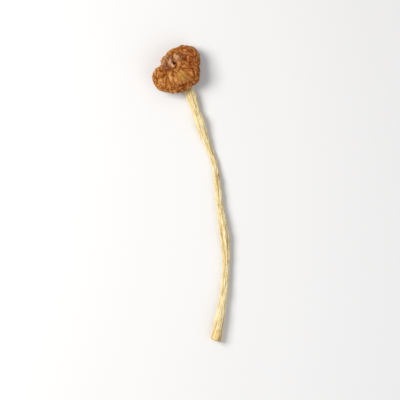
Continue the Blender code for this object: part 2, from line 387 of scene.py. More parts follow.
@dataclass(frozen=True)
class DriedCapSkin:
    """Finish of the cap's skin.

    The cuticle of the cap, a thin leathery skin over spongy flesh, dried in warm air until it shrank. It
    has a faint satin gloss on the crests and none in the creases. It is tan mottled with ochre, russet,
    olive and rose, and umber and fawn about the dimple. Painted light and shade make it ochre towards the
    left and russet towards the right and top. Painted highlights pale its crests, lips and knobs. Painted
    shade darkens its hollows and the cap's underside, and is nearly black in the deepest creases.
    """

    tan: str = "#C6833E"
    ochre: str = "#C78C42"
    russet: str = "#B16525"
    olive: str = "#A5873A"
    rose: str = "#C1764D"
    # Painted highlight on the crests of the wrinkles
    painted_highlight: str = "#E1B694"
    blush: str = "#DDA582"
    fawn: str = "#CDA67C"
    umber: str = "#8F5C40"
    sallow: str = "#9A7436"
    # Painted highlight on raised lips and knob tops
    lip_highlight: str = "#E4BA9C"
    # Dark brown of random mottle, and painted shade in hollows, under the margin and under the cap
    shade: str = "#924402"
    # Painted shade in the creases, and nearly black painted shade in the deepest
    painted_crease_shade: str = "#7C2E00"
    painted_pit_shade: str = "#2E0A00"

    # Blotches of real size. The real grain is about 0.1 mm, too fine to show, so it is drawn coarser.
    patch_size: float = 5.0 * MM
    bloom_size: float = 1.9 * MM
    mottle_size: float = 1.1 * MM
    grain_size: float = 0.28 * MM
    detail: float = 3.5
    harshness: float = 0.58
    relief: Pair = (0.8, 0.12 * MM)

    # Rough as dry leather. More gloss than this would veil the creases in grey.
    crest_roughness: float = 0.50
    crease_roughness: float = 0.85
    dull_crease: float = 0.8
    gloss: float = 0.12

    def material(self) -> Material:
        """Build the finish.

        Returns:
            The material.
        """
        material, shader, tree = new_material("dried_cap_cuticle")
        place = add_node(tree, "ShaderNodeTexCoord").outputs["Object"]
        trait = {name: trait_socket(tree, name) for name in CAP_TRAITS}
        patch, bloom, mottle, grain = (
            cloud(tree, place, 1 / size, self.detail, self.harshness)
            for size in (self.patch_size, self.bloom_size, self.mottle_size, self.grain_size)
        )
        layers = (
            # Painted light and shade: ochre towards the lit left, russet towards the right and top
            (trait["side_shade"], 0.55, 0.10, 0.65, self.ochre),
            (trait["side_shade"], 0.50, 1.00, 0.70, self.russet),
            (patch, 0.52, 0.66, 0.55, self.ochre),
            (patch, 0.48, 0.34, 0.60, self.russet),
            (bloom, 0.50, 0.64, 0.55, self.olive),
            (bloom, 0.50, 0.36, 0.45, self.rose),
            (mottle, 0.46, 0.32, 0.50, self.shade),
            (trait["umber"], 0.15, 0.90, 0.75, self.umber),
            # Painted highlights on the crests
            (trait["crest_highlight"], 0.40, 0.90, 0.70, self.painted_highlight),
            (trait["fawn"], 0.10, 0.80, 0.72, self.fawn),
            (mottle, 0.52, 0.76, 0.45, self.blush),
            (trait["calm"], 0.25, 1.00, 0.55, self.sallow),
            # Painted shade in hollows, under the margin and under the cap
            (trait["hollow_shade"], 0.35, 1.00, 0.40, self.shade),
            # Painted highlights on lips and knob tops
            (trait["lip_highlight"], 0.15, 0.80, 0.75, self.lip_highlight),
            # Painted shade in the creases, nearly black in the deepest
            (trait["painted_crease_shade"], 0.20, 0.68, 0.76, self.painted_crease_shade),
            (trait["painted_crease_shade"], 0.90, 1.00, 0.85, self.painted_pit_shade),
        )
        span = {"To Min": self.crest_roughness, "To Max": self.crease_roughness}
        span["From Max"] = self.dull_crease
        dullness = add_node(tree, "ShaderNodeMapRange", values=span, links={"Value": trait["painted_crease_shade"]})
        tree.links.new(dullness.outputs["Result"], shader.inputs["Roughness"])
        shader.inputs["Specular IOR Level"].default_value = self.gloss
        set_flesh(tree, shader, layered_colour(tree, self.tan, layers), grain, self.relief)
        return material


@dataclass(frozen=True)
class DriedGillFlesh:
    """Finish of the gills.

    Thin plates of spore-bearing flesh, dried to brittle ruffles. They are dull brown, with painted shade
    deep between the plates near their roots, and paler along their free edges.
    """

    brown: str = "#7C4F2C"
    edge: str = "#B68A58"
    # Dark brown of random mottle, and painted shade between the plates
    deep: str = "#432613"
    mottle_size: float = 0.9 * MM
    detail: float = 4.0
    harshness: float = 0.6
    relief: Pair = (0.4, 0.05 * MM)
    roughness: float = 0.78

    def material(self) -> Material:
        """Build the finish.

        Returns:
            The material.
        """
        material, shader, tree = new_material("dried_gill_flesh")
        place = add_node(tree, "ShaderNodeTexCoord").outputs["Object"]
        free = trait_socket(tree, "free_edge")
        mottle = cloud(tree, place, 1 / self.mottle_size, self.detail, self.harshness)
        layers = (
            # Painted shade deep between the plates, near their roots
            (free, 0.70, 0.0, 0.85, self.deep),
            (free, 0.72, 1.0, 0.85, self.edge),
            (mottle, 0.40, 0.65, 0.40, self.deep),
        )
        set_flesh(tree, shader, layered_colour(tree, self.brown, layers), mottle, self.relief)
        shader.inputs["Roughness"].default_value = self.roughness
        return material


@dataclass(frozen=True)
class DriedStemFlesh:
    """Finish of the stem.

    A bundle of long pale fibres that shrank as it dried. It is straw-coloured and dull with a faint satin
    along the fibres, with olive to honey-brown painted shade in the grooves and furrows, small stains, and
    creamier and ambered near the foot.
    """

    straw: str = "#F6DEA9"
    cream: str = "#FEF4D6"
    olive: str = "#CDBB80"
    honey: str = "#AB8346"
    stain: str = "#895F2B"
    foot_cream: str = "#FFEDBE"
    amber: str = "#DFA43C"

    # Widths and lengths in mm. A real fibre is about 0.05 mm wide, too fine to show: hair is drawn coarser.
    fibre_size: Pair = (0.9, 5.0)
    hair_size: Pair = (0.16, 5.0)
    stain_size: Pair = (3.2, 7.04)
    fleck_size: Pair = (0.45, 1.3)
    detail: float = 3.0
    harshness: float = 0.55
    relief: Pair = (0.8, 0.10 * MM)
    roughness: float = 0.66

    # Light goes a little way into the pale flesh, red light furthest
    glow: float = 0.12
    glow_reach: tuple[float, float, float] = (1.0, 0.7, 0.35)
    glow_depth: float = 0.6 * MM

    def material(self) -> Material:
        """Build the finish, with patterns that follow the straightened stem in millimetres.

        Returns:
            The material.
        """
        material, shader, tree = new_material("dried_stem_fibre")
        straight = trait_socket(tree, "grain", "Vector")
        groove_shade, foot, cut = (trait_socket(tree, name) for name in ("groove_shade", "foot", "cut"))
        patterns = []
        for width, length in (self.fibre_size, self.hair_size, self.stain_size, self.fleck_size):
            values = {"Scale": (1 / width, 1 / width, 1 / length)}
            stretch = add_node(tree, "ShaderNodeMapping", values=values, links={"Vector": straight})
            patterns.append(cloud(tree, stretch.outputs["Vector"], 1.0, self.detail, self.harshness))
        fibre, hair, stain, fleck = patterns
        product = {"operation": "MULTIPLY"}
        damp = add_node(tree, "ShaderNodeMath", product, links={0: stain, 1: foot}).outputs[0]
        layers = (
            (fibre, 0.52, 0.62, 0.80, self.cream),
            (fibre, 0.48, 0.38, 0.60, self.olive),
            (foot, 0.0, 0.8, 0.70, self.foot_cream),
            # Painted shade in the grooves and furrows, and a painted shadow line at each peeled strip's
            # step
            (groove_shade, 0.10, 0.60, 0.50, self.olive),
            (groove_shade, 0.50, 1.0, 0.70, self.honey),
            (stain, 0.60, 0.76, 0.35, self.stain),
            (fleck, 0.66, 0.76, 0.75, self.stain),
            (damp, 0.46, 0.62, 0.60, self.amber),
            (cut, 0.2, 1.0, 0.25, self.honey),
        )
        set_flesh(tree, shader, layered_colour(tree, self.straw, layers), hair, self.relief)
        shader.inputs["Roughness"].default_value = self.roughness
        shader.inputs["Subsurface Weight"].default_value = self.glow
        shader.inputs["Subsurface Radius"].default_value = self.glow_reach
        shader.inputs["Subsurface Scale"].default_value = self.glow_depth
        return material


@dataclass(frozen=True)
class MattBoard:
    """Finish of the floor: smooth painted board, matt and almost white, so that nothing shows in it."""

    white: str = "#E7E6E5"
    roughness: float = 0.8

    def material(self) -> Material:
        """Build the finish.

        Returns:
            The material.
        """
        material, shader, _ = new_material("matt_white_board")
        shader.inputs["Base Color"].default_value = linear_colour(self.white)
        shader.inputs["Roughness"].default_value = self.roughness
        return material


@dataclass
class Cap:
    """The cap: a folded skin, dimpled in its face and rolled under at its margin, and the gills below."""

    seat: Vector = in_mm(*SEAT)
    lean: float = math.radians(16)
    lean_toward: float = math.radians(118)

    radius: float = 12.4 * MM
    dome_height: float = 8.0 * MM
    dome_fullness: float = 2.5
    margin_thickness: float = 2.8 * MM
    margin_drop: float = 2.3 * MM
    gill_radii: Pair = (8.9 * MM, 3.9 * MM)
    gill_edges: Pair = (-0.5 * MM, 0.9 * MM)
    roof_radii: Pair = (9.5 * MM, 2.7 * MM)
    roof_heights: Pair = (1.1 * MM, 2.2 * MM)
    roof_start: Pair = (-0.1, 0.14)

    columns: int = 480
    face_rows: int = 124
    margin_rows: int = 30
    roof_rows: int = 16
    seat_rows: int = 3

    # How far the margin reaches from the middle, in mm by direction in degrees
    reaches: tuple[Pair, ...] = (
        (0, 11.6), (17, 12.6), (36, 14.0), (50, 14.3), (64, 13.9), (77, 12.9),
        (90, 11.8), (105, 10.9), (120, 10.0), (138, 9.5), (154, 9.7), (170, 8.7),
        (182, 10.3), (192, 12.4), (204, 13.9), (221, 14.6), (237, 14.6), (249, 14.3),
        (262, 13.7), (277, 13.4), (294, 12.7), (310, 12.2), (324, 13.4), (338, 12.8),
    )
    lobes_from: Pair = (0.15, 0.85)
    sway: float = 0.5 * MM
    waves: tuple[tuple[float, float, float], ...] = ((2, 1.0, 0.6), (3, 0.6, 2.1))
    crinkle_depth: float = 0.5 * MM
    crinkle_pace: float = 3.5

    # The folds and hollows of the face, in the cap's own plane
    dimple: Vector = in_mm(-2.4, -1.3)
    dimple_depth: float = 3.2 * MM
    dimple_radius: float = 1.9 * MM
    lip_radius: float = 4.7 * MM
    lip_width: float = 1.65 * MM
    lip_height: float = 0.5 * MM
    fold_count: int = 13
    fold_depth: float = 0.55 * MM
    fold_start: Pair = (0.8 * MM, 3.6 * MM)
    fold_upper_fade: float = 0.55
    fold_sway: float = 4.0
    fold_sway_length: float = 4.5 * MM
    fold_vigour: Pair = (0.35, 1.1)
    ripple_spacing: float = 2.7 * MM
    ripple_depth: float = 0.3 * MM
    ripple_side: float = math.radians(72)
    ripple_start: Pair = (3.8 * MM, 5.6 * MM)
    ripple_sway: float = 5.0
    notch_end: Vector = in_mm(-8.6, -0.2)
    notch_depth: float = 1.7 * MM
    notch_width: float = 0.9 * MM
    notch_start: float = 0.4
    swelling: Vector = in_mm(4.0, -7.9)
    swelling_radii: Vector = in_mm(3.6, 2.6)
    swelling_height: float = 0.9 * MM
    swelling_softness: float = 0.7
    lumps_length: float = 3.4 * MM
    lumps_height: float = 0.7 * MM
    relief_fade_from: float = 0.8
    relief_fade: float = 0.6

    # How far the dimple, the folds and the creases darken the skin with painted shade
    dimple_shade_radius: float = 1.71 * MM
    fold_shade: float = 0.5
    crease_shade: float = 0.8

    # Creases in the face: from, to, depth and half width in mm
    creases: Table = (
        (0.7, -11.4, 5.2, -10.6, 0.7, 0.5),
        (-4.0, -4.5, -4.4, -12.0, 0.6, 0.5),
        (-7.2, -4.1, -10.0, -10.1, 0.6, 0.6),
        (4.6, 2.6, 9.8, -0.4, 0.8, 0.7),
        (-2.6, 5.2, 3.8, 6.6, 0.6, 0.6),
    )

    # Folds that the solids leave out, in the cap's own plane: points, height and half width in mm
    folds: tuple[tuple[tuple[Pair, ...], float, float], ...] = (
        (((-1.0, 1.3), (0.2, 0.1), (0.5, -1.2), (-0.1, -2.3)), -1.0, 0.45),
        (((-0.3, -2.5), (-1.8, -3.6), (-3.6, -3.4)), -0.5, 0.34),
        (((-2.4, 1.3), (-2.1, 0.3), (-1.6, -0.8), (-0.7, -1.7)), 1.15, 0.48),
        (((-3.4, -1.8), (-2.6, -2.3)), 0.9, 1.1),
        (((-3.1, -0.8), (-2.3, -1.1)), -0.5, 0.34),
        (((-5.2, -1.4), (-4.0, -2.6), (-2.2, -3.0)), 0.5, 0.60),
        (((-3.9, 1.3), (-3.2, 0.2)), 0.4, 0.50),
        (((1.6, -11.5), (4.0, -10.8), (5.8, -10.0)), -0.9, 0.36),
        (((-1.4, 4.4), (-1.2, 3.1)), -0.7, 0.40),
        (((1.9, 2.0), (0.4, 0.7), (-1.2, 0.9)), -0.7, 0.50),
        (((2.1, 7.5), (2.7, 5.2)), -0.6, 0.42),
        (((2.2, -3.9), (3.2, -3.3), (4.8, -3.1), (6.8, -3.0), (9.3, -2.4)), -0.85, 0.42),
        (((3.2, -7.4), (4.8, -7.6)), 0.5, 2.2),
        (((5.0, 2.8), (6.2, 0.8), (7.2, 0.0), (9.1, 1.5)), -0.6, 0.40),
        (((-6.4, -7.8), (-4.3, -6.1)), -0.7, 0.42),
        (((-10.1, -1.2), (-9.5, -4.0), (-9.7, -6.5), (-9.4, -9.4)), -0.5, 0.40),
        (((-4.2, -8.2), (-4.6, -12.9)), -0.6, 0.34),
        (((-5.7, -8.8), (-6.4, -12.4)), -0.5, 0.34),
        (((-3.7, -9.9), (-3.1, -12.7)), -0.5, 0.30),
        (((-2.4, -11.2), (-1.9, -13.3)), -0.7, 0.34),
        (((0.3, -11.9), (1.0, -12.2)), -0.5, 0.34),
        (((9.0, -3.4), (9.6, -5.4), (9.5, -7.6)), -0.75, 0.40),
        (((8.6, -5.0), (9.0, -6.7)), 0.4, 0.34),
        (((10.4, -4.0), (10.5, -5.6)), 0.4, 0.40),
        (((6.4, 5.6), (8.4, 4.4)), -0.5, 0.36),
        (((5.4, 9.4), (6.2, 7.6)), -0.5, 0.36),
        (((-5.8, 4.2), (-4.2, 4.6), (-3.2, 5.4)), -0.5, 0.38),
        (((-5.6, 1.6), (-3.6, 2.0)), -0.5, 0.36),
    )

    # A fold's stretches are passed over beyond this reach, and its edges beyond so many half widths
    fold_reach: float = 3.4 * MM
    fold_tail: float = 3.0
    # Painted shade in a drawn fold's crease, and painted highlight on its lip where it rises high
    fold_crease_shade: float = 1.1
    lip_least_rise: float = 0.9
    lip_gain: float = 4.0

    # Wrinkles that the solids leave out: arcs on the upper side, rays on the lower side, worms all over,
    # knobs about the dimple, fine specks, and pleats under the margin
    arcs: Wrinkle = Wrinkle(0.48 * MM, 0.9, 1.0, 1.9 * MM, turns=1.9)
    rays: Wrinkle = Wrinkle(0.54 * MM, 0.9, 0.5, 4.6 * MM, turns=6.5, seed=4.0)
    worms: Wrinkle = Wrinkle(0.50 * MM, 0.9, 0.7, 2.1 * MM, seed=13.0)
    knobs: Wrinkle = Wrinkle(0.34 * MM, 0.9, 0.0, 1.2 * MM, seed=21.0)
    specks: Wrinkle = Wrinkle(0.16 * MM, 0.35, 0.3, 0.7 * MM, seed=17.0)
    pleats: Wrinkle = Wrinkle(0.40 * MM, 0.5, 0.0, 3.2 * MM, turns=15.0)
    wrinkles_start: Pair = (2.0 * MM, 5.5 * MM)
    pleats_start: Pair = (0.05, 0.45)
    drift: float = 1.6 * MM
    drift_length: float = 3.125 * MM
    arc_drift: float = 1.4
    ray_drift: float = 0.9
    ray_knobbly_loss: float = 0.8
    worm_outer_loss: float = 0.45
    worm_knobbly_gain: float = 0.3
    cut_sharpness: float = 1.5
    # How the painted shade of the creases and the painted highlights of the crests follow the cut
    dark_sharpness: float = 1.9
    dark_depth: float = 0.5 * MM
    crest_depth: float = 0.3 * MM
    darkest_wrinkle: float = 0.85

    # Patches of another tint on the face: middle and half sizes in mm, and hints of fawn elsewhere
    umber_patches: Table = ((-3.7, -2.2, 2.5, 1.5), (0.3, -0.6, 0.9, 1.3))
    fawn_patches: Table = ((-5.0, 1.3, 2.4, 2.2), (0.4, 3.0, 2.6, 1.9))
    tint_strength: float = 1.15
    tint_mottle: float = 1.3
    mottle_size: float = 1.3 * MM
    fawn_hint: float = 0.9
    hint_size: float = 4.2 * MM
    hint_from: float = 0.12
    tint_fade: float = 0.6
    tint_fade_from: float = 0.70
    margin_fawn: float = 0.4

    # How the smooth swelling, a fold and a fawn patch change the wrinkles, their painted shade and their
    # painted highlights
    calm_softness: float = 0.75
    calm_mottle: float = 0.8
    calm_mottle_size: float = 1.4 * MM
    calm_losses: tuple[float, float, float] = (0.75, 0.8, 0.7)
    fold_crease_loss: float = 0.6
    fawn_crease_loss: float = 0.25
    fawn_hollow_loss: float = 0.6
    fawn_lip: float = 0.75
    margin_relief_end: float = 0.6
    # Painted shade growing round the margin's underside, and painted shade over the cap's underside
    margin_shade: float = 0.4
    roof_shade: float = 0.7
    # Where the painted light of the left turns to the painted shade of the right and top
    side_shade_span: Pair = (-8.0 * MM, 12.5 * MM)
    side_shade_slant: float = 0.05

    # Gills: long and short ones by turns, the short ones starting further out
    long_gills: int = 58
    gill_grid: tuple[int, int] = (20, 4)
    gill_thickness: float = 0.15 * MM
    gill_overlap: float = 1.5 * MM
    short_start: Pair = (1.2 * MM, 1.6 * MM)
    short_rise: float = 0.35
    gill_jitter: float = 0.3
    gill_root: float = 0.25 * MM
    gill_end: float = 0.86
    gill_end_loss: float = 0.85
    gill_wobble: float = 0.25 * MM
    wobble_length: float = 2.2 * MM
    gill_ruffle: float = 0.26 * MM
    ruffle_length: float = 1.5 * MM
    gill_sweep: float = 0.5 * MM
    sweep_length: float = 5.0 * MM
    sweep_start: float = 0.5

    def turn(self) -> Quaternion:
        """Rotation that leans the cap from level."""
        axis = Vector((-math.sin(self.lean_toward), math.cos(self.lean_toward), 0.0))
        return Quaternion(axis, self.lean)

    def reach(self, angle: float) -> float:
        """How far the margin reaches in a direction.

        Args:
            angle: The direction round the cap.

        Returns:
            The reach as a share of the cap's even radius.
        """
        degrees = math.degrees(angle) % 360.0
        count = len(self.reaches)
        index = max(i for i in range(count) if self.reaches[i][0] <= degrees)
        low = self.reaches[index][0]
        high = self.reaches[(index + 1) % count][0] or 360
        near = [self.reaches[(index + step) % count][1] for step in (-1, 0, 1, 2)]
        return spline(*near, (degrees - low) / (high - low)) * MM / self.radius

    def rim_sway(self, angle: float) -> float:
        """Height that the margin rises or falls by in a direction."""
        return self.sway * sum(most * math.sin(count * angle + phase) for count, most, phase in self.waves)

    def roof_reach(self, angle: float, radius: float) -> float:
        """Reach of the flesh under the cap in a direction, as a share of an even cap's."""
        inner = self.radius - self.margin_thickness
        return 1.0 + (self.reach(angle) - 1.0) * smoothstep(self.gill_radii[1], inner, radius)

    def roof_lift(self, angle: float, radius: float) -> float:
        """Height by which the flesh under the cap follows the sway of the margin."""
        return self.rim_sway(angle) * smoothstep(self.gill_radii[1], self.radius, radius)

    def face_relief(self, point: Vector, share: float) -> Pair:
        """Height that folds, dimple and lumps add to the face.

        Args:
            point: Place in the cap's plane.
            share: 0 at the dimple, 1 at the margin.

        Returns:
            The height, and how much painted shade the place gets for lying in a hollow, from 0 to 1.
        """
        out = point - self.dimple
        distance = out.length
        turn = math.atan2(out.y, out.x)
        height = -self.dimple_depth * bell(distance, self.dimple_radius)
        height += self.lip_height * bell(distance - self.lip_radius, self.lip_width)
        sway = rough(*(point / self.fold_sway_length))
        spot = point / self.lumps_length
        least, extra = self.fold_vigour
        vigour = least + extra * abs(rough(3.0 + spot.x, spot.y, seed=2.0))
        folds = math.sin(self.fold_count * turn + self.fold_sway * sway) * vigour
        upper = max(math.cos(turn - self.ripple_side), 0.0)
        folds *= smoothstep(*self.fold_start, distance) * (1.0 - self.fold_upper_fade * share * upper)
        height += self.fold_depth * folds
        ripples = math.sin(FULL_TURN * distance / self.ripple_spacing + self.ripple_sway * sway)
        height += self.ripple_depth * ripples * upper * smoothstep(*self.ripple_start, distance)
        gap, along = distance_to_line(point, self.dimple, self.notch_end)
        notch = bell(gap, self.notch_width) * smoothstep(0.0, self.notch_start, along)
        height -= self.notch_depth * notch
        lump = oval(point, self.swelling, self.swelling_radii, self.swelling_softness)
        height += self.swelling_height * lump
        # Painted shade in the notch, the dimple, the folds' troughs and the drawn creases
        hollow_shade = notch + bell(distance, self.dimple_shade_radius) + self.fold_shade * max(-folds, 0.0)
        for x0, y0, x1, y1, depth, width in self.creases:
            gap, _ = distance_to_line(point, Vector((x0, y0)) * MM, Vector((x1, y1)) * MM)
            height -= depth * MM * bell(gap, width * MM)
            hollow_shade += self.crease_shade * bell(gap, width * MM)
        height += self.lumps_height * rough(*spot)
        height *= 1.0 - self.relief_fade * smoothstep(self.relief_fade_from, 1.0, share)
        return height, min(hollow_shade, 1.0)

    def fold_relief(self, point: Vector) -> tuple[float, float, float]:
        """Height that the drawn folds add, and how far a place lies in a crease or on a lip.

        Args:
            point: Place in the cap's plane.

        Returns:
            The height, and the shares of painted shade in a crease and of painted highlight on a lip.
        """
        height = painted_crease_shade = lip_highlight = 0.0
        for points, rise, width in self.folds:
            gap = math.inf
            for first, second in zip(points, points[1:]):
                start, end = Vector(first) * MM, Vector(second) * MM
                if (point - 0.5 * (start + end)).length < self.fold_reach:
                    gap = min(gap, distance_to_line(point, start, end)[0])
            if gap < self.fold_tail * width * MM:
                strength = bell(gap, width * MM)
                height += rise * MM * strength
                painted_crease_shade += self.fold_crease_shade * max(-rise, 0.0) * strength**2
                lip_highlight += self.lip_gain * max(rise - self.lip_least_rise, 0.0) * strength**3
        return height, min(painted_crease_shade, 1.0), min(lip_highlight, 1.0)

    def tint(self, point: Vector, patches: Sequence[tuple[float, ...]], hint: float) -> float:
        """How far a place has the tint of some patches, mottled, with hints of it elsewhere.

        Args:
            point: Place in the cap's plane.
            patches: The patches.
            hint: How strong the hints are.

        Returns:
            The share, from 0 to 1.
        """
        spot = point / MM
        near = max(oval(spot, Vector((x, y)), Vector((wide, deep)), 1.0) for x, y, wide, deep in patches)
        near *= self.tint_strength + self.tint_mottle * rough(*(point / self.mottle_size))
        near += hint * max(rough(*(point / self.hint_size), seed=1.0) - self.hint_from, 0.0)
        return min(max(near, 0.0), 1.0)

    def wrinkles(self, angle: float, row: CapRow, knobbly: float) -> tuple[float, float, float]:
        """Fine relief of the dried skin, cut inwards.

        Args:
            angle: Direction round the cap.
            row: The ring of the skin.
            knobbly: How far the place lies in a patch about the dimple, where bumps take the place of rays.

        Returns:
            The depth, the share of painted shade in a crease, and the share of painted highlight on a
            crest, from 0 to 1.
        """
        ring = Vector((math.cos(angle), math.sin(angle)))
        flat = ring * row.path
        slow = flat / self.drift_length
        drift = Vector((rough(*slow), rough(*slow, seed=7.0)))
        spot = flat + self.drift * drift
        outer = smoothstep(*self.wrinkles_start, row.path)
        upper = max(math.cos(angle - self.ripple_side), 0.0) ** 0.5 * outer
        under = row.share if row.zone is Zone.MARGIN else 0.0
        arcs, rays, pleats = self.arcs, self.rays, self.pleats
        arc = puff(*(arcs.turns * ring), row.path / arcs.length + self.arc_drift * drift.x)
        ray = puff(*(rays.turns * ring + self.ray_drift * drift), rays.seed + row.path / rays.length)
        pleat = puff(*(pleats.turns * ring), row.path / pleats.length)
        kinds = (self.worms, self.knobs, self.specks)
        worm, knob, speck = (puff(*(spot / kind.length), kind.seed) for kind in kinds)
        worm_share = 1 - self.worm_outer_loss * outer * (1 - knobbly) + self.worm_knobbly_gain * knobbly
        depth = painted_crease_shade = 0.0
        crest_highlight = 1.0
        for kind, rise, share in (
            (arcs, arc, upper),
            (rays, ray, (1 - upper) * outer * (1 - self.ray_knobbly_loss * knobbly)),
            (self.worms, worm, worm_share),
            (self.knobs, knob, knobbly),
            (self.specks, speck, 1.0),
            (pleats, pleat, smoothstep(*self.pleats_start, under)),
        ):
            most = kind.depth * share * (1 - kind.under_loss * under)
            cut = (1 - rise) ** self.cut_sharpness
            depth += most * cut
            # Painted shade in the creases and painted highlights on the crests
            painted_crease_shade += min(most / self.dark_depth, 1.0) * kind.shade_darkness * cut**self.dark_sharpness
            crest_highlight *= 1 - min(most / self.crest_depth, 1.0) * (1 - rise)
        return depth, min(painted_crease_shade, self.darkest_wrinkle), max(crest_highlight, 0.0)

    def rows(self) -> list[CapRow]:
        """Rings of the cap's even half section, from the dimple to the seat of the stem.

        Returns:
            The rings.
        """
        found: list[CapRow] = []

        def add(zone: Zone, share: float, radius: float, height: float, look: Sequence[float]) -> None:
            """Add one ring, as far along the section as it lies from the last."""
            step = math.hypot(radius - found[-1].radius, height - found[-1].height) if found else 0.0
            path = found[-1].path + step if found else 0.0
            found.append(CapRow(zone, share, radius, height, *look, path))

        power = self.dome_fullness
        for i in range(self.face_rows + 1):
            swing = i / self.face_rows * math.pi / 2
            radius = self.radius * math.sin(swing) ** (2 / power)
            height = self.dome_height * max(math.cos(swing), 0.0) ** (2 / power)
            steep = (radius / self.radius) ** (power - 1) / self.radius
            level = (height / self.dome_height) ** (power - 1) / self.dome_height
            add(Zone.FACE, radius / self.radius, radius, height, Vector((steep, level)).normalized())
        half = self.margin_thickness / 2
        for i in range(1, self.margin_rows + 1):
            swing = -math.pi * i / self.margin_rows
            radius = self.radius - half + half * math.cos(swing)
            look = (math.cos(swing), math.sin(swing))
            add(Zone.MARGIN, i / self.margin_rows, radius, self.margin_drop * math.sin(swing), look)
        down = (0.0, -1.0)
        for i in range(1, self.roof_rows + 1):
            share = i / self.roof_rows
            height = blend(self.roof_heights, share) * smoothstep(*self.roof_start, share)
            add(Zone.ROOF, share, blend(self.roof_radii, share), height, down)
        for i in range(1, self.seat_rows + 1):
            share = i / self.seat_rows
            add(Zone.SEAT, share, self.roof_radii[1] * (1 - share), self.roof_heights[1], down)
        return found

    def local_point(self, angle: float, row: CapRow) -> Placed:
        """Place of a point of the skin about the seat, before the cap leans.

        Args:
            angle: Direction round the cap.
            row: The ring of the skin.

        Returns:
            The place, and the traits that colour it, painted shade and painted highlights among them.
        """
        outward = Vector((math.cos(angle), math.sin(angle)))
        reach = self.reach(angle)
        crinkle = self.crinkle_depth * rough(*(outward * self.crinkle_pace))
        calm = lip_highlight = umber = fawn = 0.0
        if row.zone is Zone.FACE:
            lobed = 1.0 + (reach - 1.0) * smoothstep(*self.lobes_from, row.share)
            flat = self.dimple * (1.0 - row.share) + outward * (row.radius * lobed + crinkle * row.share**4)
            inside = 1.0 - self.tint_fade * smoothstep(self.tint_fade_from, 1.0, row.share)
            umber = inside * self.tint(flat, self.umber_patches, 0.0)
            fawn = inside * self.tint(flat, self.fawn_patches, self.fawn_hint)
            depth, painted_crease_shade, crest_highlight = self.wrinkles(angle, row, max(umber, fawn))
            relief, hollow_shade = self.face_relief(flat, row.share)
            rise, fold, lip_highlight = self.fold_relief(flat)
            height = row.height + relief + rise + self.rim_sway(angle) * row.share**2
            calm = oval(flat, self.swelling, self.swelling_radii, self.calm_softness)
            calm *= 1.0 - smoothstep(self.relief_fade_from, 1.0, row.share)
            depth_loss, crease_loss, crest_loss = self.calm_losses
            depth *= 1.0 - depth_loss * calm
            painted_crease_shade *= (1.0 - self.fold_crease_loss * fold) * (1.0 - crease_loss * calm) * (1.0 - lip_highlight)
            painted_crease_shade = max(painted_crease_shade * (1.0 - self.fawn_crease_loss * fawn), fold)
            crest_highlight = max(crest_highlight * (1.0 - crest_loss * calm), lip_highlight)
            # Painted highlights on the knob tops in fawn patches
            lip_highlight = max(lip_highlight, self.fawn_lip * fawn * crest_highlight)
            hollow_shade *= 1.0 - self.fawn_hollow_loss * fawn
        elif row.zone is Zone.MARGIN:
            flat = outward * (row.radius * reach + crinkle * (1.0 - row.share))
            fawn = self.margin_fawn * self.tint(flat, self.fawn_patches, self.fawn_hint) * (1.0 - row.share)
            depth, painted_crease_shade, crest_highlight = self.wrinkles(angle, row, fawn)
            relief, hollow_shade = self.face_relief(outward * (self.radius * reach + crinkle), 1.0)
            fade = 1.0 - smoothstep(0.0, self.margin_relief_end, row.share)
            height = row.height + relief * fade + self.roof_lift(angle, row.radius)
            # Painted shade deepening round the margin's underside
            hollow_shade = hollow_shade * fade + self.margin_shade * row.share
        else:
            flat = outward * (row.radius * self.roof_reach(angle, row.radius))
            height = row.height + self.roof_lift(angle, row.radius)
            # Painted shade over the whole underside of the cap
            depth, painted_crease_shade, crest_highlight, hollow_shade = 0.0, self.roof_shade, 0.0, 1.0
        place = Vector((*flat, height))
        traits = dict(painted_crease_shade=painted_crease_shade, crest_highlight=crest_highlight, hollow_shade=hollow_shade, umber=umber, fawn=fawn, lip_highlight=lip_highlight)
        # Painted light towards the left and painted shade towards the right and top
        traits["side_shade"] = smoothstep(*self.side_shade_span, flat.x + self.side_shade_slant * flat.y)
        traits["calm"] = calm * (1.0 + self.calm_mottle * noise.noise(place / self.calm_mottle_size))
        return place - depth * Vector((*(outward * row.outward), row.upward)), traits

    def build_skin(self, material: Material) -> bpy.types.Object:
        """Build the folded skin, from the dimple round the margin to the stem.

        Args:
            material: The skin's finish.

        Returns:
            The piece.
        """
        rows = self.rows()
        turn = self.turn()

        def place(column: int, row: int) -> Placed:
            """Place and traits of one point of the skin."""
            local, traits = self.local_point(FULL_TURN * column / self.columns, rows[row])
            point = self.seat + turn @ local
            point.z = max(point.z, 0.0)
            return point, traits

        shape = rolled_skin(self.columns, len(rows) - 1, place, CAP_TRAITS)
        return finished_piece("cap_skin", shape, material)

    def build_gills(self, material: Material) -> bpy.types.Object:
        """Build the gills: ruffled plates from the margin towards the stem, long and short by turns.

        Args:
            material: The gills' finish.

        Returns:
            The piece.
        """
        shape = bmesh.new()
        free = shape.verts.layers.float.new("free_edge")
        turn = self.turn()
        count = 2 * self.long_gills
        across, downward = self.gill_grid
        for index in range(count):
